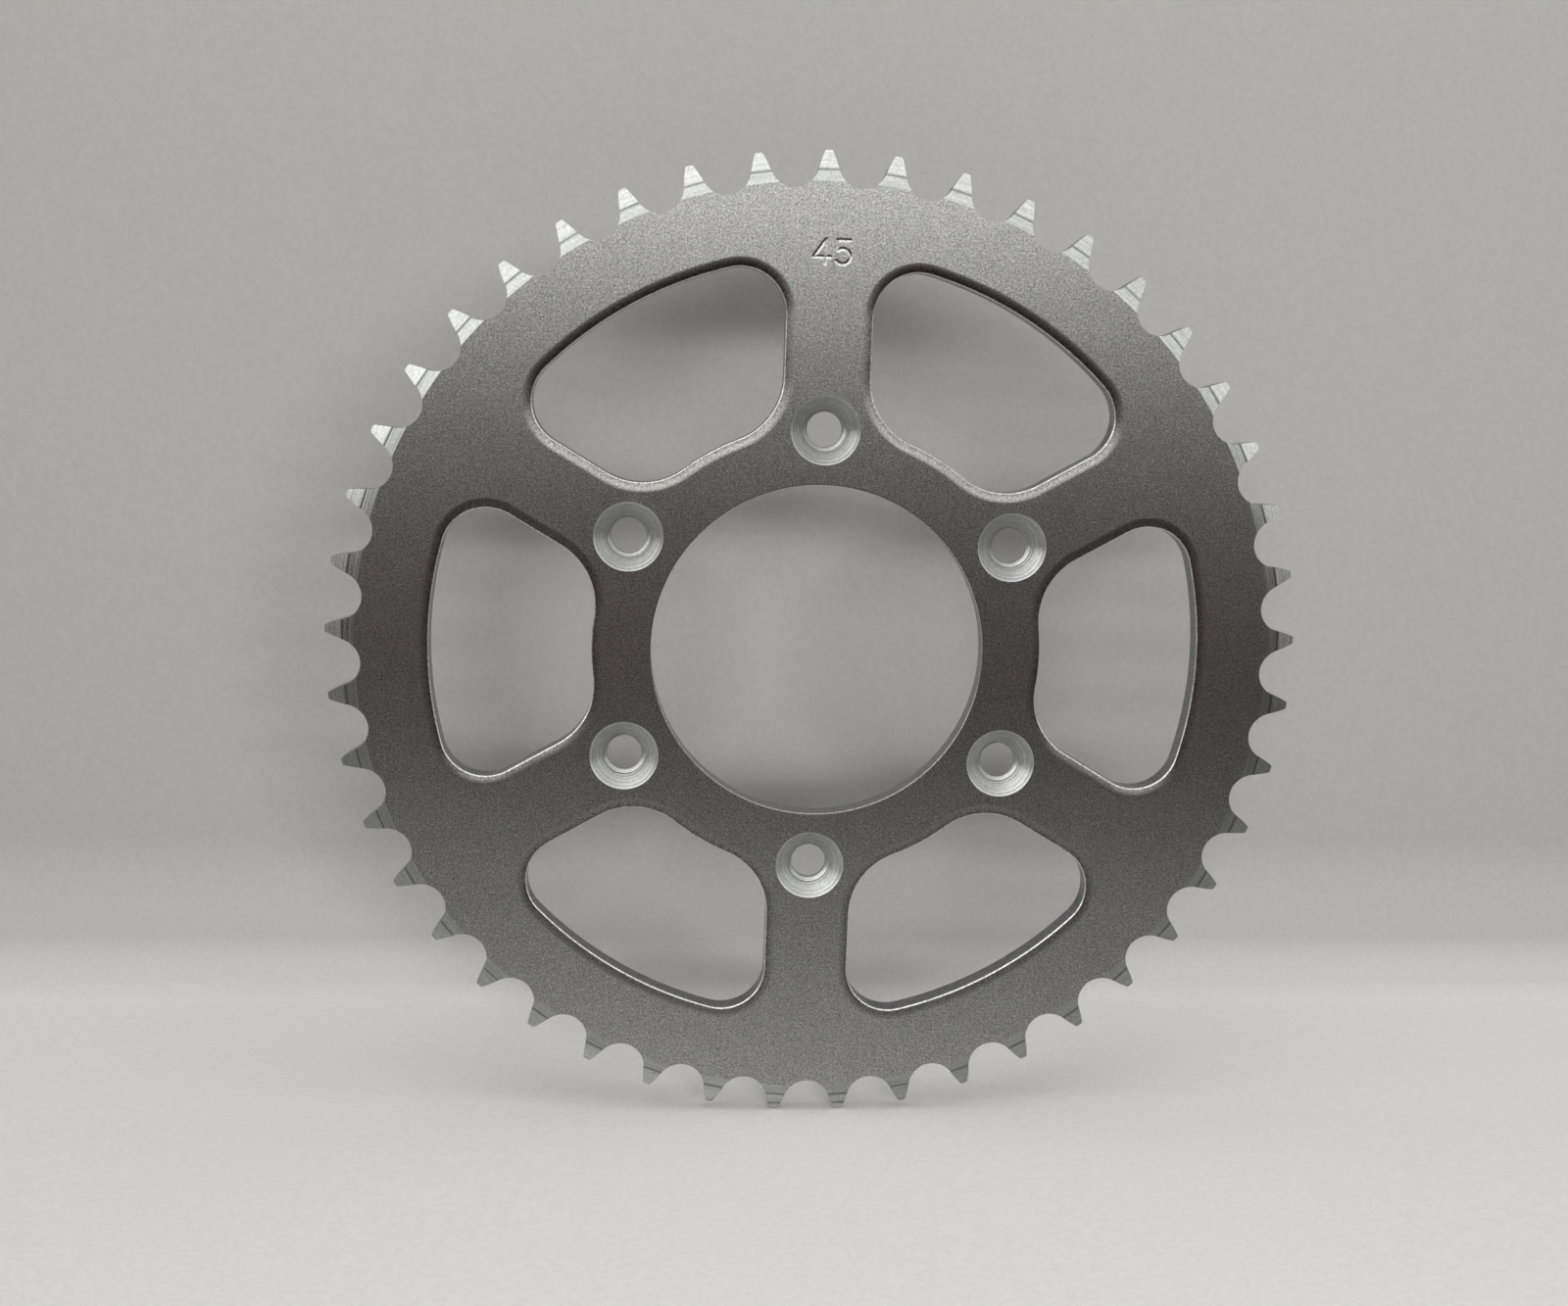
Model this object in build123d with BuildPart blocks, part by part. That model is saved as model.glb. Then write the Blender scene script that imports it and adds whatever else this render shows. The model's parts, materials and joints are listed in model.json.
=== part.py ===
from build123d import *
from math import acos, asin, cos, degrees, pi, radians, sin
import os

# Rear sprocket of a motorcycle: one steel plate, blanked, toothed and zinc plated.
# Frame: +Z up, the plate stands on edge, its axis is Y, its countersunk and
# stamped front faces -Y. The origin is the middle of the bore, half way through
# the plate. All sizes are millimetres.

# Chain and teeth
chain_pitch = 15.875
roller_diameter = 10.16
tooth_count = 45
tooth_phase = 0.73            # teeth turned counter-clockwise from the top bolt hole
seat_radius = 5.75            # bottom of a tooth gap, a little wider than the roller
seat_half_angle = 71
flank_radius = 30
tip_radius = 117.2
tip_corner_radius = 0.35

# Side relief of the teeth: a shallow band, a small step, then a steeper facet
band_radius = 110.1
band_depth = 0.35
step_radius = 112.4
step_depth = 0.12
tip_relief = 1.7

# Plate, hub bore and bolt holes
plate_thickness = 5.8
bore_radius = 40.0
bolt_circle_radius = 53.0
bolt_count = 6
bolt_hole_radius = 4.2
countersink_radius = 8.3
countersink_angle = 90

# Six windows between six spokes
window_count = 6
spoke_half_width = 10.25
hub_ring_radius = 54.2
rim_inner_radius = 92.7
window_inner_corner = 16.4
window_outer_corner = 10.6

# Rolled edges on the front, small edge breaks on the back
roll_width = 2.2
roll_depth = 0.65
bore_edge_radius = 0.3
back_break = 0.25

# Stamped tooth count
stamp_height = 94.1
digit_height = 5.5
digit_width = 3.8
digit_spacing = 4.9
stroke_width = 0.7
stamp_depth = 0.25

pitch_radius = chain_pitch / (2 * sin(pi / tooth_count))
root_radius = pitch_radius - roller_diameter / 2
seat_centre = root_radius + seat_radius
front_plane = Plane.XZ.offset(plate_thickness / 2)
back_plane = Plane.XZ.offset(-plate_thickness / 2)

os.makedirs("parts", exist_ok=True)


def window_vertex(radius):
    # where the side of a spoke meets a circle, seen from the window's centre line
    half_angle = pi / window_count - asin(spoke_half_width / radius)
    return (radius * sin(half_angle), radius * cos(half_angle))


# One tooth gap pointing up: a roller seat, then a flank on each side that
# bends slowly away from the gap until it is past the tooth tips
seat_x = seat_radius * sin(radians(seat_half_angle))
seat_y = seat_centre - seat_radius * cos(radians(seat_half_angle))
gap_top = tip_radius + 1
flank_end_angle = degrees(acos(cos(radians(seat_half_angle)) + (gap_top - seat_y) / flank_radius))
flank_sweep = seat_half_angle - flank_end_angle

with BuildSketch() as tooth_gap:
    with BuildLine():
        seat = ThreePointArc((-seat_x, seat_y), (0, root_radius), (seat_x, seat_y))
        right_flank = JernArc(seat @ 1, seat % 1, flank_radius, -flank_sweep)
        left_flank = JernArc(seat @ 0, -(seat % 0), flank_radius, flank_sweep)
        Line(right_flank @ 1, left_flank @ 1)
    make_face()

# One window pointing up: rim arc, hub arc and two sides parallel to the spokes
outer_x, outer_y = window_vertex(rim_inner_radius)
inner_x, inner_y = window_vertex(hub_ring_radius)

with BuildSketch() as window:
    with BuildLine():
        ThreePointArc((-outer_x, outer_y), (0, rim_inner_radius), (outer_x, outer_y))
        Line((outer_x, outer_y), (inner_x, inner_y))
        ThreePointArc((inner_x, inner_y), (0, hub_ring_radius), (-inner_x, inner_y))
        Line((-inner_x, inner_y), (-outer_x, outer_y))
    make_face()
    fillet(window.vertices().sort_by(Axis.Y)[-2:], window_outer_corner)
    fillet(window.vertices().group_by(Axis.Y)[0], window_inner_corner)

# The stamped number, drawn with plain strokes of one width
half_digit = digit_width / 2
bar_drop = digit_height * 0.24
bowl_radius = digit_height * 0.32
bowl_y = bowl_radius - digit_height / 2
bowl_start = (bowl_radius * cos(radians(130)), bowl_y + bowl_radius * sin(radians(130)))
bowl_end = (bowl_radius * cos(radians(140)), bowl_y - bowl_radius * sin(radians(140)))

with BuildSketch(Location((-digit_spacing / 2, stamp_height))) as digit_four:
    with BuildLine() as diagonal_and_bar:
        Polyline(
            (half_digit * 0.4, digit_height / 2),
            (-half_digit, -bar_drop),
            (half_digit, -bar_drop),
        )
    SlotArc(diagonal_and_bar.wire(), stroke_width)
    with BuildLine() as upright:
        Line((half_digit * 0.4, digit_height / 2), (half_digit * 0.4, -digit_height / 2))
    SlotArc(upright.wire(), stroke_width)

with BuildSketch(Location((digit_spacing / 2, stamp_height))) as digit_five:
    with BuildLine() as flag_and_bowl:
        Polyline(
            (half_digit * 0.9, digit_height / 2),
            (-half_digit * 0.6, digit_height / 2),
            bowl_start,
        )
        ThreePointArc(bowl_start, (bowl_radius, bowl_y), bowl_end)
    SlotArc(flag_and_bowl.wire(), stroke_width)

# The blank: a disc as wide as the tooth tips, less the gaps, tip corners eased
with BuildSketch() as blank:
    Circle(tip_radius)
    with PolarLocations(0, tooth_count, start_angle=tooth_phase + 180 / tooth_count):
        add(tooth_gap.sketch, mode=Mode.SUBTRACT)
    tip_corners = [v for v in blank.vertices() if Vector(*v).length > tip_radius - 0.01]
    fillet(tip_corners, tip_corner_radius)

# Tool for one window pointing up: the opening, and the roll that the press
# leaves round its front edge, wide along the face and shallow into the plate
with BuildPart() as window_tool:
    with BuildSketch(back_plane):
        add(window.sketch)
    extrude(amount=plate_thickness)
    rim = window_tool.faces().sort_by(Axis.Y)[0].outer_wire()
    rim_start = rim.position_at(0)
    away = Vector(0, 1, 0).cross(rim.tangent_at(0))
    away = away if away.dot(rim_start - rim.center()) > 0 else -away
    with BuildSketch(Plane(rim_start, x_dir=away, z_dir=away.cross(Vector(0, 1, 0)))):
        with BuildLine():
            EllipticalCenterArc((roll_width, roll_depth), roll_width, roll_depth, 180)
            Polyline(
                (roll_width, 0),
                (roll_width, -0.2),
                (-0.2, -0.2),
                (-0.2, roll_depth),
                (0, roll_depth),
            )
        make_face()
    sweep(path=rim)

with BuildPart() as sprocket_plate:
    with BuildSketch(back_plane):
        add(blank.sketch)
        Circle(bore_radius, mode=Mode.SUBTRACT)
    extrude(amount=plate_thickness)

    # side relief turned on both faces of the teeth
    half_plate = plate_thickness / 2
    for side in (-1, 1):
        with BuildSketch(Plane.XY):
            with BuildLine():
                Polyline(
                    (band_radius, side * half_plate),
                    (step_radius, side * (half_plate - band_depth)),
                    (step_radius, side * (half_plate - band_depth - step_depth)),
                    (tip_radius + 0.1, side * (half_plate - tip_relief)),
                    (tip_radius + 0.1, side * (half_plate + 0.1)),
                    (band_radius, side * (half_plate + 0.1)),
                    close=True,
                )
            make_face()
        revolve(axis=Axis.Y, mode=Mode.SUBTRACT)

    for k in range(window_count):
        turn = (k + 0.5) * 360 / window_count
        add(window_tool.part.rotate(Axis.Y, turn), mode=Mode.SUBTRACT)

    # bolt holes, countersunk from the front
    with Locations(front_plane):
        with PolarLocations(bolt_circle_radius, bolt_count, start_angle=90):
            CounterSinkHole(
                bolt_hole_radius,
                countersink_radius,
                plate_thickness,
                countersink_angle,
            )

    # eased edges: the bore on the front, every opening on the back
    bore_front = sprocket_plate.edges().filter_by(GeomType.CIRCLE).group_by(Axis.Y)[0]
    fillet(bore_front.filter_by(lambda e: abs(e.radius - bore_radius) < 0.01), bore_edge_radius)
    back_face = sprocket_plate.faces().sort_by(Axis.Y)[-1]
    chamfer([e for w in back_face.inner_wires() for e in w.edges()], back_break)

    # the stamped number
    with BuildSketch(front_plane):
        add(digit_four.sketch)
        add(digit_five.sketch)
    extrude(amount=-stamp_depth, mode=Mode.SUBTRACT)

sprocket_plate.part.label = "sprocket_plate"
export_step(sprocket_plate.part, "parts/sprocket_plate.step")
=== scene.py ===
import json
from math import acos, asin, atan2, cos, hypot, pi, radians, sin, sqrt, tan, tau

import bmesh
import bpy
from mathutils import Euler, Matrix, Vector
from mathutils.geometry import delaunay_2d_cdt


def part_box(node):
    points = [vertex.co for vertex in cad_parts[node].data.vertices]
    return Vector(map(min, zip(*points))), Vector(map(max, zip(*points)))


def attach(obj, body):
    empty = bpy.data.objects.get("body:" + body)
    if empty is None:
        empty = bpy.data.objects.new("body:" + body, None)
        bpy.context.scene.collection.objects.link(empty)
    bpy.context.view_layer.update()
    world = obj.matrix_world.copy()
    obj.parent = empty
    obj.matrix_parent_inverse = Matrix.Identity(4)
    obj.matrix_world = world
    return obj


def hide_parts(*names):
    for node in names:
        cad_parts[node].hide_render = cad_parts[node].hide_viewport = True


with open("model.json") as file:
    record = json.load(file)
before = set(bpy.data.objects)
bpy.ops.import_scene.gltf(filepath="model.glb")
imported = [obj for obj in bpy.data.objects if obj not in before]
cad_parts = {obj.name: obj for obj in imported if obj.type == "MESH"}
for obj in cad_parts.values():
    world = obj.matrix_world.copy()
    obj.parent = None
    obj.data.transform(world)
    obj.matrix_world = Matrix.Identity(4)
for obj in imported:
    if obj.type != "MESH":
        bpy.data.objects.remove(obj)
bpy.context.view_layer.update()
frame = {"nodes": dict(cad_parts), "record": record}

# A motorcycle's rear sprocket, standing on two of its teeth. Everything is in metres.
# A place on the plate is written (x, z), as seen from the front, which faces -Y.
plate_low, plate_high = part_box("sprocket_plate")
cad_plate = frame["nodes"]["sprocket_plate"]
mounts = {mount["name"]: mount["dims"] for mount in frame["record"]["mounts"]}

# Sizes that the frame gives
half_plate = (plate_high.y - plate_low.y) / 2
tip_radius = max(hypot(v.co.x, v.co.z) for v in cad_plate.data.vertices)
bore_radius = mounts["hub_bore"]["r_mm"] / 1000
bolt_circle_radius = mounts["hub_bolts"]["pcd_mm"] / 2000
bolt_count = mounts["hub_bolts"]["count"]
bolt_hole_radius = mounts["hub_bolts"]["hole_r_mm"] / 1000

# Teeth: a round seat between two flanks. On both sides of each tooth a shallow band, a small step
# with the turning tool's groove at its foot, and a steeper facet out to the tip.
tooth_count = 45
tooth_phase = radians(0.73)
chain_pitch = 0.015875
roller_diameter = 0.01016
seat_radius = 0.00575
seat_half_angle = radians(71)
flank_radius = 0.030
tip_corner_radius = 0.00035
band_radius = 0.1101
band_depth = 0.00035
step_radius = 0.1124
step_depth = 0.00012
groove_width = 0.0006
groove_depth = 0.00008
relief_end_radius = tip_radius + 0.0001
tip_relief = 0.0017

# Windows with rolled front edges, and countersinks with a small step near the hole
window_count = 6
spoke_half_width = 0.01025
hub_ring_radius = 0.0542
rim_inner_radius = 0.0927
window_inner_corner = 0.0164
window_outer_corner = 0.0106
roll_width = 0.0024
roll_lean = radians(11)
roll_bend = 1.6
roll_edge_radius = 0.00045
bore_edge_radius = 0.0003
countersink_radius = 0.0083
# (share of the cone's width from the hole, how far the step lies below the cone)
countersink_step = ((0.24, 0), (0.21, 0.00016), (0.12, 0.00002), (0, 0))
back_break = 0.00025

# The stamped number: V-shaped strokes in a field of small square cells
stamp_height = 0.0941
digit_height = 0.0055
digit_width = 0.0038
digit_spacing = 0.0049
stroke_width = 0.0009
stamp_depth = 0.00018
stamp_field = (0.0112, 0.0084)
stamp_cell = 0.0001

# Kinds of surface. Edges between two kinds stay sharp, and each kind has one of the materials below.
FACE, ROLL, WALL, TURNED, CONE, STAMP, BORED = range(7)
material_of = {FACE: 0, STAMP: 0, WALL: 1, TURNED: 2, CONE: 3, BORED: 3, ROLL: 4}
sharp_angle = radians(32)
weld_distance = 2e-6
UP = pi / 2

pitch_radius = chain_pitch / (2 * sin(pi / tooth_count))
root_radius = pitch_radius - roller_diameter / 2
seat_centre = root_radius + seat_radius


# ---------------------------------------------------------------- plan geometry

def polar(radius, angle):
    return (radius * cos(angle), radius * sin(angle))


def turned(point, angle):
    x, z = point
    return (x * cos(angle) - z * sin(angle), x * sin(angle) + z * cos(angle))


def spread(start, end, steps):
    return [start + (end - start) * k / steps for k in range(steps + 1)]


def arc(centre, radius, start, end, steps, side=1):
    """Points of an arc, each with the direction that leads away from its opening."""
    found = []
    for angle in spread(start, end, steps):
        nx, nz = cos(angle), sin(angle)
        point = (centre[0] + radius * nx, centre[1] + radius * nz)
        found.append((point, (side * nx, side * nz)))
    return found


def window_outline():
    """The window that points up, clockwise, as (point, direction into the metal)."""
    spoke = pi / window_count
    along = (sin(spoke), cos(spoke))
    across = (-cos(spoke), sin(spoke))

    def corner(radius, reach):
        offset = spoke_half_width + radius
        length = sqrt(reach * reach - offset * offset)
        return tuple(offset * a + length * b for a, b in zip(across, along))

    outer = corner(window_outer_corner, rim_inner_radius - window_outer_corner)
    inner = corner(window_inner_corner, hub_ring_radius + window_inner_corner)
    outer_angle = atan2(outer[1], outer[0])
    inner_angle = atan2(inner[1], inner[0])
    right = arc((0, 0), rim_inner_radius, UP, outer_angle, 30)
    right += arc(outer, window_outer_corner, outer_angle, -spoke, 22)[1:]
    side_start = right[-1][0]
    side_end = tuple(c - window_inner_corner * a for c, a in zip(inner, across))
    into_metal = right[-1][1]
    for share in spread(0, 1, 12)[1:]:
        point = tuple(s + (e - s) * share for s, e in zip(side_start, side_end))
        right.append((point, into_metal))
    right += arc(inner, window_inner_corner, -spoke, inner_angle - pi, 26)[1:]
    right += arc((0, 0), hub_ring_radius, inner_angle, UP, 8, side=-1)[1:]
    left = [((-p[0], p[1]), (-n[0], n[1])) for p, n in reversed(right[1:-1])]
    return right + left


def circle_outline(centre, radius, steps):
    return arc(centre, radius, 0, tau * (1 - 1 / steps), steps - 1)


# The gap that points up: half of its seat and its flank, and the tip's small corner
seat_end = (seat_radius * sin(seat_half_angle), seat_centre - seat_radius * cos(seat_half_angle))
flank_centre = (
    seat_end[0] + flank_radius * sin(seat_half_angle),
    seat_end[1] - flank_radius * cos(seat_half_angle),
)
flank_reach = hypot(*flank_centre)
flank_lean = atan2(flank_centre[0], flank_centre[1])


def gap_angle(radius):
    """Half the angle of a tooth gap at that radius."""
    if radius <= hypot(*seat_end):
        share = (seat_centre ** 2 + seat_radius ** 2 - radius ** 2) / (2 * seat_centre * seat_radius)
        return asin(seat_radius * sin(acos(share)) / radius)
    share = (radius ** 2 - flank_reach ** 2 - flank_radius ** 2) / (2 * flank_radius * flank_reach)
    turn = acos(share) - flank_lean
    x = flank_centre[0] - flank_radius * sin(turn)
    z = flank_centre[1] + flank_radius * cos(turn)
    return atan2(x, z)


def tip_corner():
    """(radius, half gap angle) along the small round corner between flank and tip."""
    reach = tip_radius - tip_corner_radius
    gap = flank_radius - tip_corner_radius
    cosine = (flank_reach ** 2 + reach ** 2 - gap ** 2) / (2 * flank_reach * reach)
    lean = flank_lean - acos(cosine)
    centre = (reach * sin(lean), reach * cos(lean))
    start = atan2(centre[1] - flank_centre[1], centre[0] - flank_centre[0])
    end = atan2(centre[1], centre[0])
    points = [point for point, _ in arc(centre, tip_corner_radius, start, end, 5)]
    return [(hypot(*p), atan2(p[0], p[1])) for p in points]


half_pitch = pi / tooth_count
corner_rows = [(radius, half_pitch - angle) for radius, angle in tip_corner()]
band_rows = [(r, half_pitch - gap_angle(r)) for r in spread(band_radius, step_radius, 4)]
foot_rows = [step_radius + groove_width * share for share in (0, 0.25, 0.5, 0.75)]
rising_rows = spread(step_radius + groove_width, corner_rows[0][0], 9)
facet_rows = [(r, half_pitch - gap_angle(r)) for r in foot_rows + rising_rows]
facet_rows += corner_rows[1:]
tooth_columns = 10

facet_start = band_depth + step_depth
facet_slope = (tip_relief - facet_start) / (relief_end_radius - step_radius)


def band_relief(radius):
    """How far the band lies below the plate's face."""
    return band_depth * (radius - band_radius) / (step_radius - band_radius)


def facet_relief(radius):
    """The same for the facet outside the step, with the turning tool's groove along its foot."""
    across = abs(radius - step_radius - groove_width / 2) / (groove_width / 2)
    groove = groove_depth * max(0.0, 1 - across)
    return facet_start + (radius - step_radius) * facet_slope + groove


# ---------------------------------------------------------------- mesh gathering

class Surface:
    """Vertices and faces of the closed plate, each face with its kind and its grain coordinates."""

    def __init__(self):
        self.points = []
        self.faces = []
        self.kinds = []
        self.grain = []

    def add(self, kind, corners, grain):
        first = len(self.points)
        self.points += corners
        self.faces.append(list(range(first, first + len(corners))))
        self.kinds.append(kind)
        self.grain.append(grain)

    def strip(self, kind, rows, closed=True):
        """Quads between rows of (point, grain) that have the same length."""
        for upper, lower in zip(rows, rows[1:]):
            count = len(upper) if closed else len(upper) - 1
            for k in range(count):
                after = (k + 1) % len(upper)
                corners = [upper[k], upper[after], lower[after], lower[k]]
                grain = [c[1] for c in corners]
                if closed and after == 0:
                    grain = [grain[0], self.next_grain(upper), self.next_grain(lower), grain[3]]
                self.add(kind, [c[0] for c in corners], grain)

    @staticmethod
    def next_grain(row):
        (u0, _), (u1, v1) = row[-2][1], row[-1][1]
        return (2 * u1 - u0, v1)


def front(point, depth=0.0):
    return (point[0], -half_plate + depth, point[1])


def back(point, depth=0.0):
    return (point[0], half_plate - depth, point[1])


def lengths(outline):
    total, found = 0.0, [0.0]
    for (a, _), (b, _) in zip(outline, outline[1:]):
        total += hypot(b[0] - a[0], b[1] - a[1])
        found.append(total)
    return found


def moved(outline, distance):
    return [(p[0] + n[0] * distance, p[1] + n[1] * distance) for p, n in outline]


def placed(outline, angle):
    return [(turned(p, angle), turned(n, angle)) for p, n in outline]


def ring(outline, distance, y, grain_height):
    """One row round an opening: moved into the metal by distance, at height y through the plate."""
    points = moved(outline, distance)
    return [((p[0], y, p[1]), (s, grain_height)) for p, s in zip(points, lengths(outline))]


def opening(surface, outline, front_rows, front_kind, wall_kind=WALL, wall_steps=3):
    """An opening's front edge, wall and back edge break. front_rows are (distance into the metal, depth),
    from the face in. Returns its loops on the front and back faces."""
    rows = [ring(outline, d, depth - half_plate, depth - d) for d, depth in front_rows]
    surface.strip(front_kind, rows)
    wall_inset, wall_depth = front_rows[-1]
    wall_end = half_plate - back_break
    levels_down = spread(wall_depth - half_plate, wall_end, wall_steps)
    wall = [ring(outline, wall_inset, y, y) for y in levels_down]
    surface.strip(wall_kind, wall)
    inset = wall_inset + back_break
    surface.strip(wall_kind, [wall[-1], ring(outline, inset, half_plate, half_plate)])
    return moved(outline, front_rows[0][0]), moved(outline, inset)


def round_rows(radius, start, steps):
    """A round edge, from where it leans by the start angle to where it meets the opening's wall."""
    drop = radius * (1 - cos(start))
    return [(radius * (1 - sin(a)), radius * (1 - cos(a)) - drop) for a in spread(start, UP, steps)]


def roll_rows():
    """A window's front edge, from the face in: a long slope that grows steeper, then a small round edge."""
    edge = round_rows(roll_edge_radius, roll_lean, 7)
    slope_width = roll_width - edge[0][0]
    slope_depth = slope_width * tan(roll_lean) / roll_bend
    shares = spread(0, 1, 10)[:-1]
    rows = [(roll_width - slope_width * share, slope_depth * share ** roll_bend) for share in shares]
    return rows + [(d, depth + slope_depth) for d, depth in edge]


def stroke_segments():
    """Centre lines of the two digits, as short straight pieces."""
    half = digit_width / 2
    drop = digit_height * 0.22
    stem = half * 0.45
    four_x, five_x = -digit_spacing / 2, digit_spacing / 2
    top, bottom = digit_height / 2, -digit_height / 2
    four = [[(stem, top), (-half, -drop), (half, -drop)], [(stem, top), (stem, bottom)]]
    bowl = digit_height * 0.32
    bowl_z = bowl + bottom
    curve = [(bowl * cos(a), bowl_z + bowl * sin(a)) for a in spread(radians(130), radians(-145), 22)]
    five = [[(half * 0.85, top), (-half * 0.65, top), curve[0]], curve]
    found = []
    for shift, lines in ((four_x, four), (five_x, five)):
        for line in lines:
            moved_line = [(x + shift, z + stamp_height) for x, z in line]
            found += list(zip(moved_line, moved_line[1:]))
    return found


def distance_to(point, segment):
    (ax, az), (bx, bz) = segment
    dx, dz = bx - ax, bz - az
    share = ((point[0] - ax) * dx + (point[1] - az) * dz) / (dx * dx + dz * dz)
    share = min(1.0, max(0.0, share))
    return hypot(point[0] - ax - dx * share, point[1] - az - dz * share)


def stamp(surface):
    """The field round the number, with a V-shaped groove along each stroke. Returns its border."""
    columns = round(stamp_field[0] / stamp_cell)
    rows = round(stamp_field[1] / stamp_cell)
    xs = spread(-stamp_field[0] / 2, stamp_field[0] / 2, columns)
    zs = spread(stamp_height - stamp_field[1] / 2, stamp_height + stamp_field[1] / 2, rows)
    segments = stroke_segments()
    half = stroke_width / 2
    grid = []
    for z in zs:
        line = []
        for x in xs:
            near = min(distance_to((x, z), segment) for segment in segments)
            depth = stamp_depth * max(0.0, 1 - near / half)
            line.append((front((x, z), depth), (x, z)))
        grid.append(line)
    surface.strip(STAMP, grid, closed=False)
    border = [(x, zs[0]) for x in xs] + [(xs[-1], z) for z in zs[1:]]
    border += [(x, zs[-1]) for x in reversed(xs[:-1])] + [(xs[0], z) for z in reversed(zs[1:-1])]
    return border


def flat_face(surface, place, outer, holes):
    """The flat face between an outer loop and its holes."""
    points, edges = [], []
    for loop in [outer] + holes:
        first = len(points)
        points += loop
        edges += [(first + k, first + (k + 1) % len(loop)) for k in range(len(loop))]
    coords = [Vector(p) for p in points]
    _, _, triangles, originals, _, _ = delaunay_2d_cdt(coords, edges, [], 0, 1e-9, True)
    triangles = [tuple(originals[k][0] for k in triangle) for triangle in triangles]
    for triangle in largest_region(triangles, {frozenset(edge) for edge in edges}):
        corners = [points[k] for k in triangle]
        surface.add(FACE, [place(p) for p in corners], corners)


def largest_region(triangles, borders):
    """The largest group of triangles that can be walked through without crossing a border."""
    sides = {}
    for number, triangle in enumerate(triangles):
        for k in range(3):
            sides.setdefault(frozenset((triangle[k], triangle[k - 1])), []).append(number)
    left, best = set(range(len(triangles))), []
    while left:
        region, open_list = [], [left.pop()]
        while open_list:
            number = open_list.pop()
            region.append(number)
            triangle = triangles[number]
            for k in range(3):
                side = frozenset((triangle[k], triangle[k - 1]))
                if side in borders:
                    continue
                for neighbour in sides[side]:
                    if neighbour in left:
                        left.discard(neighbour)
                        open_list.append(neighbour)
        best = max(best, region, key=len)
    return [triangles[number] for number in sorted(best)]


def tooth_sides(surface, middle, place):
    """The turned band, step and facet on one side of a tooth."""
    def row(radius, half_angle, depth):
        angles = spread(middle - half_angle, middle + half_angle, tooth_columns)
        return [(place(polar(radius, angle), depth), (radius * angle, radius)) for angle in angles]

    band = [row(r, w, band_relief(r)) for r, w in band_rows]
    facet = [row(r, w, facet_relief(r)) for r, w in facet_rows]
    surface.strip(TURNED, band, closed=False)
    surface.strip(TURNED, [band[-1], facet[0]], closed=False)
    surface.strip(TURNED, facet, closed=False)


def tooth_walls(surface, middle):
    """The seat before a tooth, its two flanks and its tip, as walls through the plate. Returns the tooth's
    share of the face's outer loop."""
    gap = middle - half_pitch
    sides = seat_centre ** 2 + seat_radius ** 2 - band_radius ** 2
    seat_turn = acos(sides / (2 * seat_centre * seat_radius))
    seat = []
    for turn in spread(seat_turn, -seat_turn, 16):
        x, z = seat_radius * sin(turn), seat_centre - seat_radius * cos(turn)
        seat.append(turned((x, z), gap - UP))
    stations = [(p, 0.0, 0.0) for p in seat[:-1]]
    rising = [(r, -w, band_relief(r), band_relief(r)) for r, w in band_rows]
    rising[-1] = (step_radius, rising[-1][1], band_depth, facet_start)
    rising += [(r, -w, facet_relief(r), facet_relief(r)) for r, w in facet_rows[1:]]
    top_radius, top_half = facet_rows[-1]
    top_depth = facet_relief(top_radius)
    across_tip = spread(-top_half, top_half, tooth_columns)[1:-1]
    land = [(top_radius, offset, top_depth, top_depth) for offset in across_tip]
    falling = [(r, -w, outer, inner) for r, w, outer, inner in reversed(rising)]
    for radius, offset, outer, inner in rising + land + falling:
        stations.append((polar(radius, middle + offset), outer, inner))
    travelled = 0.0
    for (p, p_out, p_in), (q, q_out, q_in) in zip(stations, stations[1:]):
        step = hypot(q[0] - p[0], q[1] - p[1])
        rising_pair = hypot(*q) >= hypot(*p)
        p_levels = levels(p_out, p_in, hub_side=not rising_pair)
        q_levels = levels(q_out, q_in, hub_side=rising_pair)
        q_levels.reverse()
        corners = [(p[0], y, p[1]) for y in p_levels] + [(q[0], y, q[1]) for y in q_levels]
        grain = [(travelled, y) for y in p_levels] + [(travelled + step, y) for y in q_levels]
        surface.add(WALL, corners, grain)
        travelled += step
    band_half = band_rows[0][1]
    band_angles = spread(middle - band_half, middle + band_half, tooth_columns)
    return seat[:-1] + [polar(band_radius, angle) for angle in band_angles[:-1]]


def levels(outer, inner, hub_side):
    """The wall's heights at a station, from front to back. The step has one level on the tip's side, and
    both on the hub's side."""
    if hub_side and outer != inner:
        return [-half_plate + outer, -half_plate + inner, half_plate - inner, half_plate - outer]
    return [-half_plate + inner, half_plate - inner]


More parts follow.
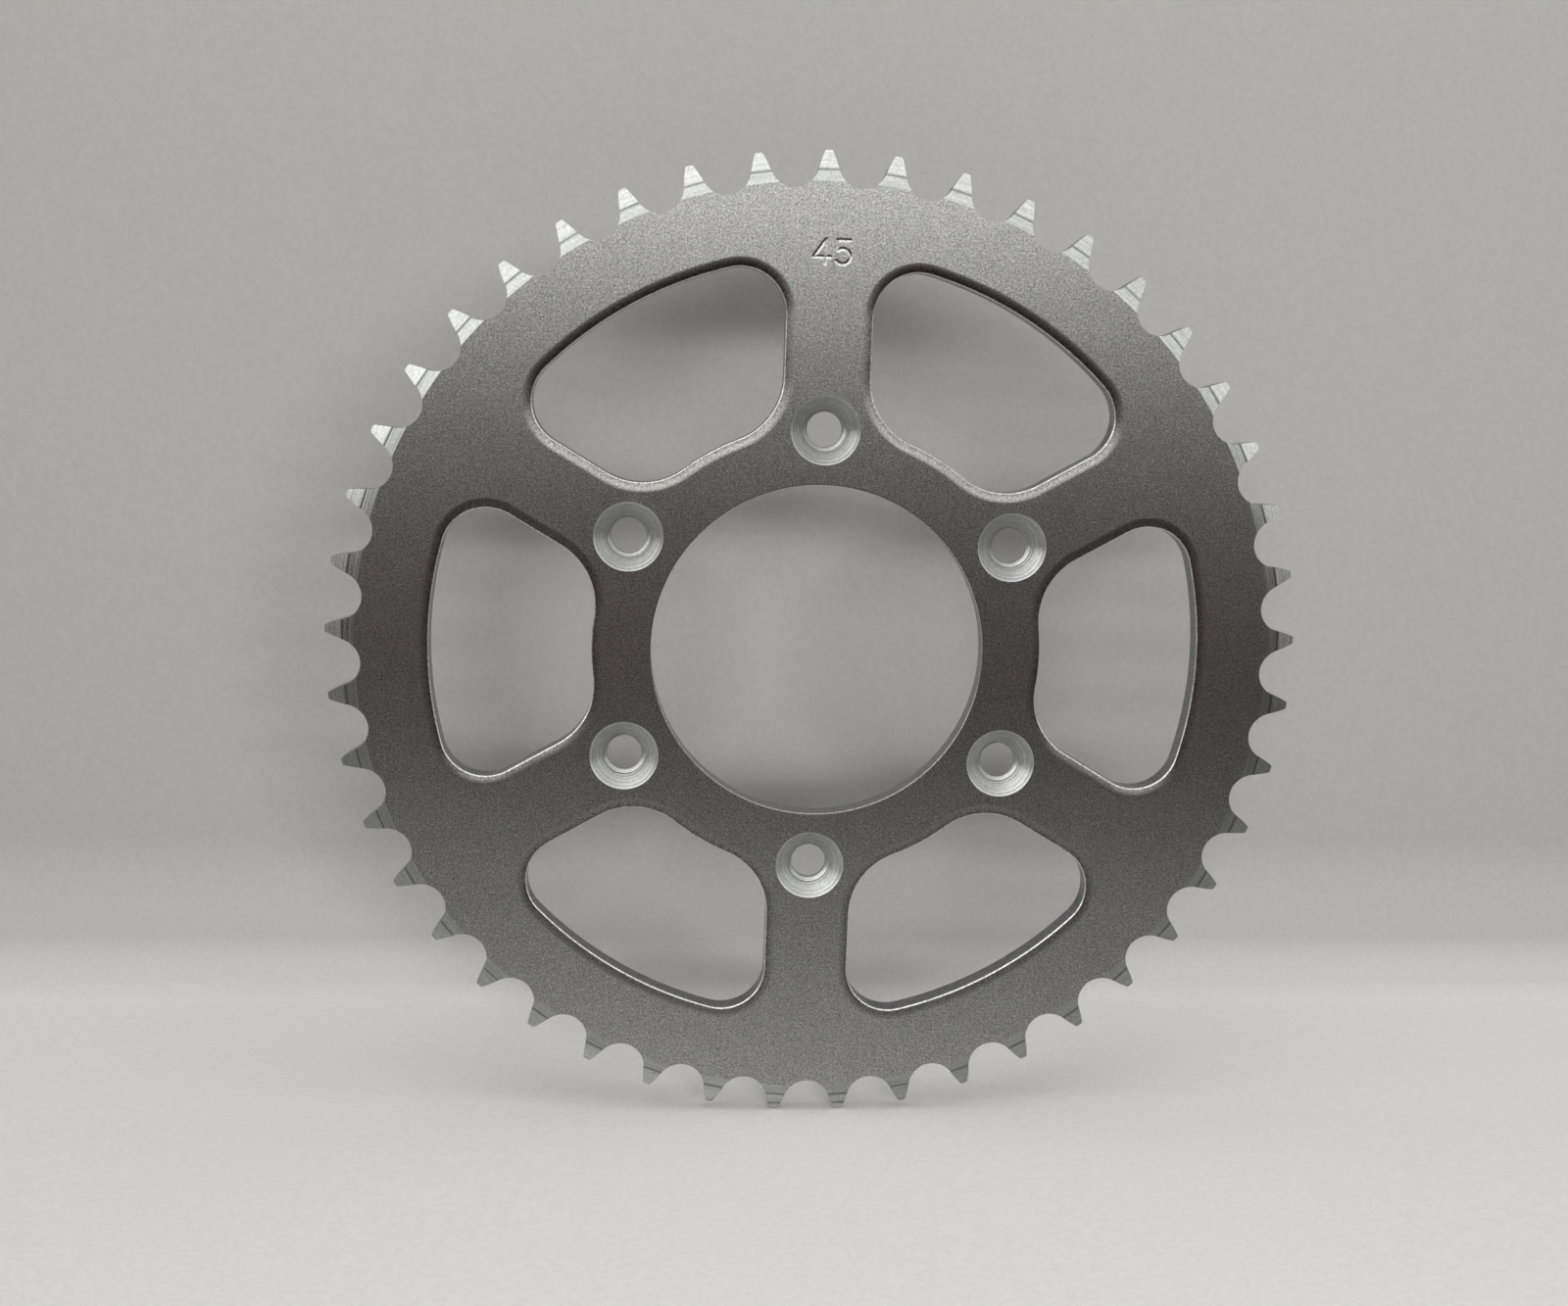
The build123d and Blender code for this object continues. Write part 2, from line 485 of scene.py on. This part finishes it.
def build_plate():
    surface = Surface()
    loops = []
    outline = window_outline()
    for k in range(window_count):
        window = placed(outline, (k + 0.5) * tau / window_count)
        loops.append(opening(surface, window, roll_rows(), ROLL))
    for k in range(bolt_count):
        centre = polar(bolt_circle_radius, UP + k * tau / bolt_count)
        hole = circle_outline(centre, bolt_hole_radius, 72)
        cone = countersink_radius - bolt_hole_radius
        rows = [(cone * s, cone * (1 - s)) for s in spread(1, 0.3, 8)]
        rows += [(cone * s, cone * (1 - s) + drop) for s, drop in countersink_step]
        loops.append(opening(surface, hole, rows, CONE, wall_kind=BORED))
    bore = circle_outline((0, 0), bore_radius, 240)
    loops.append(opening(surface, bore, round_rows(bore_edge_radius, 0, 6), ROLL))
    front_holes, back_holes = zip(*loops)
    stamp_outline = stamp(surface)
    root_loop = []
    for k in range(tooth_count):
        middle = UP + tooth_phase + k * tau / tooth_count
        root_loop += tooth_walls(surface, middle)
        tooth_sides(surface, middle, front)
        tooth_sides(surface, middle, back)
    flat_face(surface, front, root_loop, [*front_holes, stamp_outline])
    flat_face(surface, back, root_loop, list(back_holes))
    return surface


def mesh_of(surface, name):
    mesh = bpy.data.meshes.new(name)
    mesh.from_pydata(surface.points, [], surface.faces)
    layer = mesh.uv_layers.new(name="Grain")
    corner = 0
    for grain in surface.grain:
        for uv in grain:
            layer.data[corner].uv = uv
            corner += 1
    for polygon, kind in zip(mesh.polygons, surface.kinds):
        polygon.material_index = material_of[kind]
        polygon.use_smooth = True
    kinds = mesh.attributes.new("kind", "INT", "FACE")
    kinds.data.foreach_set("value", surface.kinds)
    bm = bmesh.new()
    bm.from_mesh(mesh)
    bmesh.ops.remove_doubles(bm, verts=bm.verts, dist=weld_distance)
    bmesh.ops.dissolve_degenerate(bm, edges=bm.edges, dist=1e-7)
    bmesh.ops.recalc_face_normals(bm, faces=bm.faces)
    if bm.calc_volume(signed=True) < 0:
        bmesh.ops.reverse_faces(bm, faces=bm.faces)
    kind_layer = bm.faces.layers.int["kind"]
    for edge in bm.edges:
        one, two = edge.link_faces    # the mesh is closed
        edge.smooth = one[kind_layer] == two[kind_layer] and edge.calc_face_angle() < sharp_angle
    bm.to_mesh(mesh)
    bm.free()
    return mesh


# ---------------------------------------------------------------- materials

# Noise patterns, in grains to a metre
coarse_grain = 2100
fine_grain = 4200
turning_speckle = 1500
tint_grain = 500
mottle_grain = 260
wall_streaks = 1800
paper_fibre = 700
noise_range = (0.3, 0.7)    # nearly all values of a noise pattern lie in here

# How far each pattern darkens and lightens the metal
coarse_speckle = (0.56, 1.44)
fine_speckle = (0.72, 1.28)
mottling = (0.96, 1.04)
turned_speckle = (0.86, 1.14)

# Zinc on the faces: two tints that change slowly, and glints wider from side to side than up and down
face_tints = [(0.35, (0.500, 0.508, 0.502)), (0.65, (0.520, 0.508, 0.505))]
face_roughness = (0.278, 0.284)
face_bump = 0.000003
side_to_side = 0.65
wall_roughness = (0.28, 0.38)
turned_roughness_spread = 0.03

# Across a rolled edge: the face's colour, then painted shade that grows darker and brown where it rolls
# over, then worn bright at the very edge, with a painted highlight
roll_shade_and_wear_colours = [
    (0.0, (0.51, 0.508, 0.504)),
    (0.45, (0.37, 0.353, 0.348)),
    (0.82, (0.225, 0.209, 0.203)),
    (0.90, (0.80, 0.80, 0.81)),
    (1.0, (0.80, 0.80, 0.81)),
]

# One line along a cut: (where across the grain, half width, level)
tooth_line = (step_radius + groove_width / 2, 0.00045, 0.35)
# The countersink's line is lighter: a painted highlight round the cone's outer edge
cone_painted_highlight = (bolt_hole_radius - countersink_radius, 0.0003, 1.5)


def new_material(name):
    material = bpy.data.materials.new(name)
    material.use_nodes = True
    nodes = material.node_tree.nodes
    return material, nodes, material.node_tree.links, nodes["Principled BSDF"]


def new_metal(name):
    material, nodes, links, shader = new_material(name)
    shader.inputs["Metallic"].default_value = 1.0
    return material, nodes, links, shader


def object_place(nodes):
    return nodes.new("ShaderNodeTexCoord").outputs["Object"]


def noise(nodes, links, vector, scale, detail=2.0, roughness=0.5):
    node = nodes.new("ShaderNodeTexNoise")
    node.inputs["Scale"].default_value = scale
    node.inputs["Detail"].default_value = detail
    node.inputs["Roughness"].default_value = roughness
    links.new(vector, node.inputs["Vector"])
    return node.outputs["Fac"]


def ramp(nodes, links, value, stops):
    node = nodes.new("ShaderNodeValToRGB")
    elements = node.color_ramp.elements
    elements[0].position, elements[0].color = stops[0][0], (*stops[0][1], 1)
    elements[1].position, elements[1].color = stops[-1][0], (*stops[-1][1], 1)
    for place, colour in stops[1:-1]:
        elements.new(place).color = (*colour, 1)
    links.new(value, node.inputs["Fac"])
    return node.outputs["Color"]


def span(nodes, links, value, low, high, to_low, to_high):
    """A value from low to high, carried over to a number from to_low to to_high and held there."""
    node = nodes.new("ShaderNodeMapRange")
    for key, number in zip(("From Min", "From Max", "To Min", "To Max"), (low, high, to_low, to_high)):
        node.inputs[key].default_value = number
    links.new(value, node.inputs["Value"])
    return node.outputs["Result"]


def varied(nodes, links, pattern, low, high):
    """A number that wanders from low to high with a noise pattern."""
    return span(nodes, links, pattern, *noise_range, low, high)


def bump(nodes, links, height, distance, strength=1.0):
    node = nodes.new("ShaderNodeBump")
    node.inputs["Strength"].default_value = strength
    node.inputs["Distance"].default_value = distance
    links.new(height, node.inputs["Height"])
    return node.outputs["Normal"]


def scaled(nodes, links, colour, value):
    """A colour made lighter or darker by a value."""
    node = nodes.new("ShaderNodeVectorMath")
    node.operation = "SCALE"
    links.new(colour, node.inputs[0])
    links.new(value, node.inputs["Scale"])
    return node.outputs["Vector"]


def joined(nodes, links, one, two, how="MULTIPLY"):
    node = nodes.new("ShaderNodeMath")
    node.operation = how
    links.new(one, node.inputs[0])
    links.new(two, node.inputs[1])
    return node.outputs["Value"]


def parts_of(nodes, links, vector):
    node = nodes.new("ShaderNodeSeparateXYZ")
    links.new(vector, node.inputs["Vector"])
    return node.outputs


def grain_coordinates(nodes, links, along, across):
    """The mesh's grain map, stretched along the cut."""
    grain_map = nodes.new("ShaderNodeUVMap")
    grain_map.uv_map = "Grain"
    stretch = nodes.new("ShaderNodeMapping")
    stretch.inputs["Scale"].default_value = (along, across, 1.0)
    links.new(grain_map.outputs["UV"], stretch.inputs["Vector"])
    return stretch.outputs["Vector"]


def across_grain(nodes, links):
    """How far across the grain a place lies, in metres."""
    return parts_of(nodes, links, grain_coordinates(nodes, links, 1.0, 1.0))["Y"]


def face_material(name, rolled=False):
    """Zinc over rolled plate: matte and finely speckled. A rolled edge also gets painted shade and a painted
    highlight across its width.
    """
    material, nodes, links, shader = new_metal(name)
    place = object_place(nodes)
    coarse = noise(nodes, links, place, coarse_grain, 2, 0.7)
    fine = noise(nodes, links, place, fine_grain, 1, 0.5)
    mottle = noise(nodes, links, place, mottle_grain, 3, 0.6)
    if rolled:
        across = across_grain(nodes, links)
        place_on_roll = span(nodes, links, across, -roll_width, roll_edge_radius, 0.0, 1.0)
        # Painted shade darkens the roll towards its edge, and the pale worn edge adds a painted highlight
        colour = ramp(nodes, links, place_on_roll, roll_shade_and_wear_colours)
    else:
        colour = ramp(nodes, links, noise(nodes, links, place, tint_grain, 2, 0.6), face_tints)
    speckle = varied(nodes, links, coarse, *coarse_speckle)
    speckle = joined(nodes, links, speckle, varied(nodes, links, fine, *fine_speckle))
    speckle = joined(nodes, links, speckle, varied(nodes, links, mottle, *mottling))
    links.new(scaled(nodes, links, colour, speckle), shader.inputs["Base Color"])
    links.new(varied(nodes, links, mottle, *face_roughness), shader.inputs["Roughness"])
    links.new(bump(nodes, links, coarse, face_bump), shader.inputs["Normal"])
    shader.inputs["Anisotropic"].default_value = side_to_side
    return material


def wall_material():
    """The sheared edge of the plate: dull grey, streaked through its thickness."""
    material, nodes, links, shader = new_metal("zinc_sheared_wall")
    streaks = noise(nodes, links, grain_coordinates(nodes, links, 1.0, 0.12), wall_streaks, 3)
    dark, bright = (0.20, 0.202, 0.21), (0.38, 0.383, 0.395)
    colour = ramp(nodes, links, streaks, list(zip(noise_range, (dark, bright))))
    links.new(colour, shader.inputs["Base Color"])
    links.new(varied(nodes, links, streaks, *wall_roughness), shader.inputs["Roughness"])
    links.new(bump(nodes, links, streaks, 0.00003, 0.6), shader.inputs["Normal"])
    return material


def turned_material(name, dark, bright, ring_scale, ring_depth, roughness, line):
    """Cut metal under bright zinc, with fine turning rings that run round the cut, and one line among them
    that is lighter or darker."""
    material, nodes, links, shader = new_metal(name)
    rings = noise(nodes, links, grain_coordinates(nodes, links, 0.04, 1.0), ring_scale, 3, 0.65)
    speckle = noise(nodes, links, object_place(nodes), turning_speckle, 2, 0.6)
    colour = ramp(nodes, links, rings, list(zip(noise_range, (dark, bright))))
    where, half_width, level = line
    across = across_grain(nodes, links)
    before = span(nodes, links, across, where - half_width, where, 1.0, level)
    after = span(nodes, links, across, where, where + half_width, 1.0, 1.0 / level)
    shade = varied(nodes, links, speckle, *turned_speckle)
    shade = joined(nodes, links, shade, joined(nodes, links, before, after))
    links.new(scaled(nodes, links, colour, shade), shader.inputs["Base Color"])
    low, high = roughness - turned_roughness_spread, roughness + turned_roughness_spread
    links.new(varied(nodes, links, rings, low, high), shader.inputs["Roughness"])
    links.new(bump(nodes, links, rings, ring_depth), shader.inputs["Normal"])
    return material


# ---------------------------------------------------------------- stage

# The floor lies under the two lowest teeth, whose tips press a little into the paper
tip_press = 0.00011
floor_normal = Vector((-sin(tooth_phase), 0, cos(tooth_phase)))
floor_touch = min(floor_normal.dot(vertex.co) for vertex in cad_plate.data.vertices) + tip_press

# The paper sweeps up behind the sprocket. The metal mirrors the sweep from glossy_floor_front back. In front
# of that it mirrors floor_fade instead, a sheet that ends at fade_front and that nothing else sees.
wall_distance = 0.112
wall_height = 1.2
sweep_radius = 0.040
glossy_floor_front = -0.003
fade_front = -0.45
fade_height = 0.0005
rear_floor_start = wall_distance - sweep_radius - 0.002
rear_floor_drop = 0.0002
stage_reach = 2.5
paper_colour = (0.80, 0.794, 0.78)

# Painted shade: the paper is dimmer where it stands up: (share of the sweep's height, tone)
standing_painted_shade = [(0.0, 1.0), (0.015, 0.89), (0.06, 0.74), (0.295, 0.505), (1.0, 0.42)]

# What the metal mirrors of the floor, from the far end to the plate: painted light and shade, pale close by,
# dark where it ends
floor_fade = [
    (0.0, (0.05, 0.045, 0.044)),
    (0.066, (0.07, 0.067, 0.066)),
    (0.235, (0.13, 0.129, 0.128)),
    (0.47, (0.215, 0.215, 0.215)),
    (0.70, (0.31, 0.31, 0.31)),
    (0.836, (0.41, 0.41, 0.41)),
    (0.95, (0.54, 0.54, 0.54)),
    (0.985, (0.95, 0.95, 0.95)),
]
# Painted light: the mirrored floor is paler to the left
fade_lean = (-0.3, 0.3, 0.10, -0.16)    # paler to the left

# What the metal mirrors of the room, by the sine of the elevation: a dark wall, then a pale upper part
room_low = -0.4
room = [
    (-0.25, (0.010, 0.005, 0.004)),
    (-0.21, (0.052, 0.035, 0.033)),
    (-0.15, (0.052, 0.034, 0.033)),
    (-0.09, (0.050, 0.034, 0.032)),
    (-0.03, (0.055, 0.042, 0.040)),
    (0.02, (0.130, 0.120, 0.115)),
    (0.06, (0.36, 0.36, 0.345)),
    (0.10, (1.20, 1.20, 1.16)),
    (0.17, (1.62, 1.62, 1.57)),
    (0.40, (1.25, 1.25, 1.23)),
    (0.55, (1.7, 1.7, 1.67)),
    (1.00, (1.9, 1.9, 1.87)),
]

# Its pale sides: (where along X they begin, where they are full, how pale), and how its light leans
right_side = (0.64, 0.76, 0.0, 0.50)
left_side = (-0.55, -0.67, 0.0, 0.30)
lean_to_left = (-0.5, 0.5, 1.2, 0.8)
fall_overhead = (-0.6, -0.1, 1.0, 0.62)
plain_backdrop = (0.45, 0.447, 0.435, 1.0)

light_colour = (1.0, 0.99, 0.97)
camera_place = (-0.03501, -0.41434, 0.06447)
camera_turn = (81.042, -1.964, -3.442)
camera_lens = 39.868


def floor_height(x):
    return (floor_touch - x * floor_normal.x) / floor_normal.z


def seen_from_front_only(nodes, links, shader):
    """Lets a view from behind look through the sheet."""
    mix = nodes.new("ShaderNodeMixShader")
    links.new(nodes.new("ShaderNodeNewGeometry").outputs["Backfacing"], mix.inputs[0])
    links.new(shader.outputs[0], mix.inputs[1])
    links.new(nodes.new("ShaderNodeBsdfTransparent").outputs[0], mix.inputs[2])
    links.new(mix.outputs[0], nodes["Material Output"].inputs["Surface"])


def paper_material(name, sweeps_up=False):
    material, nodes, links, shader = new_material(name)
    shader.inputs["Roughness"].default_value = 0.9
    shader.inputs["Specular IOR Level"].default_value = 0.1
    place = object_place(nodes)
    low, high = [tuple(c * k for c in paper_colour) for k in (0.97, 1.03)]
    tone = ramp(nodes, links, noise(nodes, links, place, paper_fibre, 3), [(0.35, low), (0.65, high)])
    if sweeps_up:
        height = nodes.new("ShaderNodeVectorMath")
        height.operation = "DOT_PRODUCT"
        links.new(place, height.inputs[0])
        height.inputs[1].default_value = floor_normal
        turn = span(nodes, links, height.outputs["Value"], floor_touch, floor_touch + sweep_radius, 0.0, 1.0)
        # Painted shade on the paper where it stands up
        painted_shade = ramp(nodes, links, turn, [(share, (dimmed,) * 3) for share, dimmed in standing_painted_shade])
        tone = scaled(nodes, links, tone, painted_shade)
        seen_from_front_only(nodes, links, shader)
    links.new(tone, shader.inputs["Base Color"])
    return material


def fade_material():
    material, nodes, links, shader = new_material("floor_fade")
    shader.inputs["Roughness"].default_value = 1.0
    shader.inputs["Specular IOR Level"].default_value = 0.0
    place = parts_of(nodes, links, object_place(nodes))
    share = span(nodes, links, place["Y"], fade_front, glossy_floor_front, 0.0, 1.0)
    lean = span(nodes, links, place["X"], *fade_lean)
    share = joined(nodes, links, share, lean, "ADD")
    links.new(ramp(nodes, links, share, floor_fade), shader.inputs["Base Color"])
    return material


def stage_sheet(name, profile, material):
    """A sheet of paper: a profile of (y, height above the floor), drawn out along X."""
    xs = (-stage_reach, stage_reach)
    points = [(x, y, floor_height(x) + height) for y, height in profile for x in xs]
    faces = [(2 * k, 2 * k + 1, 2 * k + 3, 2 * k + 2) for k in range(len(profile) - 1)]
    mesh = bpy.data.meshes.new(name)
    mesh.from_pydata(points, [], faces)
    for polygon in mesh.polygons:
        polygon.use_smooth = True
    mesh.materials.append(material)
    sheet = bpy.data.objects.new(name, mesh)
    bpy.context.scene.collection.objects.link(sheet)
    return sheet


def make_stage():
    paper = paper_material("pale_paper")
    bend = [
        (wall_distance - sweep_radius * (1 - sin(a)), sweep_radius * (1 - cos(a)))
        for a in spread(0, UP, 16)
    ]
    sweep = [(glossy_floor_front, 0.0)] + bend + [(wall_distance, wall_height)]
    stage_sheet("sweep", sweep, paper_material("sweep_paper", sweeps_up=True))
    front_floor = stage_sheet("front_floor", [(-stage_reach, 0.0), (glossy_floor_front, 0.0)], paper)
    front_floor.visible_glossy = False
    rear_ends = (rear_floor_start, stage_reach)
    stage_sheet("rear_floor", [(y, -rear_floor_drop) for y in rear_ends], paper)
    fade_ends = (fade_front, glossy_floor_front)
    fade = stage_sheet("floor_fade", [(y, fade_height) for y in fade_ends], fade_material())
    fade.visible_camera = False
    fade.visible_diffuse = False
    fade.visible_shadow = False


def make_world():
    """The room that the metal mirrors. It doesn't light the paper. A view from behind the paper shows a
    plain backdrop in its place."""
    world = bpy.data.worlds.new("room")
    bpy.context.scene.world = world
    world.use_nodes = True
    nodes, links = world.node_tree.nodes, world.node_tree.links
    direction = parts_of(nodes, links, nodes.new("ShaderNodeTexCoord").outputs["Generated"])
    height = span(nodes, links, direction["Z"], room_low, 1.0, 0.0, 1.0)
    stops = [((sine - room_low) / (1.0 - room_low), colour) for sine, colour in room]
    right_glow = span(nodes, links, direction["X"], *right_side)
    left_glow = span(nodes, links, direction["X"], *left_side)
    total = nodes.new("ShaderNodeVectorMath")
    total.operation = "ADD"
    links.new(ramp(nodes, links, height, stops), total.inputs[0])
    links.new(joined(nodes, links, right_glow, left_glow, "ADD"), total.inputs[1])
    leftward = span(nodes, links, direction["X"], *lean_to_left)
    forward = span(nodes, links, direction["Y"], *fall_overhead)
    level = joined(nodes, links, leftward, forward)
    mirrored = nodes["Background"]
    links.new(scaled(nodes, links, total.outputs["Vector"], level), mirrored.inputs["Color"])
    plain = nodes.new("ShaderNodeBackground")
    plain.inputs["Color"].default_value = plain_backdrop
    mix = nodes.new("ShaderNodeMixShader")
    links.new(nodes.new("ShaderNodeLightPath").outputs["Is Camera Ray"], mix.inputs[0])
    links.new(mirrored.outputs[0], mix.inputs[1])
    links.new(plain.outputs[0], mix.inputs[2])
    links.new(mix.outputs[0], nodes["World Output"].inputs["Surface"])
    world.cycles_visibility.diffuse = False


def softbox(name, place, size, power):
    """A light aimed at the middle of the bore. The metal doesn't mirror it, because it mirrors the room."""
    data = bpy.data.lights.new(name, "AREA")
    data.shape = "RECTANGLE"
    data.size, data.size_y = size
    data.energy = power
    data.color = light_colour
    light = bpy.data.objects.new(name, data)
    light.location = place
    light.rotation_euler = (-Vector(place)).to_track_quat("-Z", "Y").to_euler()
    light.visible_glossy = False
    bpy.context.scene.collection.objects.link(light)


def make_camera():
    data = bpy.data.cameras.new("camera")
    data.sensor_width = 36
    data.lens = camera_lens
    data.clip_start = 0.01
    camera = bpy.data.objects.new("camera", data)
    camera.location = camera_place
    camera.rotation_euler = Euler([radians(angle) for angle in camera_turn], "XYZ")
    bpy.context.scene.collection.objects.link(camera)
    bpy.context.scene.camera = camera


make_camera()
make_stage()
make_world()
softbox("low_softbox", place=(0.06, -1.20, 0.21), size=(0.9, 0.10), power=14.0)
softbox("top_softbox", place=(0.05, -0.12, 0.80), size=(1.3, 0.9), power=6.4)
bpy.context.scene.view_settings.view_transform = "Standard"

plate = bpy.data.objects.new("sprocket", mesh_of(build_plate(), "sprocket"))
bpy.context.scene.collection.objects.link(plate)
# In the order of material_of
for material in (
    face_material("zinc_face"),
    wall_material(),
    turned_material(
        "zinc_turned_rim", dark=(0.42, 0.43, 0.425), bright=(0.60, 0.61, 0.605),
        ring_scale=1500, ring_depth=0.00003, roughness=0.23, line=tooth_line,
    ),
    turned_material(
        "zinc_turned_cone", dark=(0.27, 0.275, 0.275), bright=(0.66, 0.665, 0.665),
        ring_scale=1200, ring_depth=0.00010, roughness=0.34, line=cone_painted_highlight,
    ),
    face_material("zinc_rolled_edge", rolled=True),
):
    plate.data.materials.append(material)
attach(plate, "root")
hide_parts("sprocket_plate")
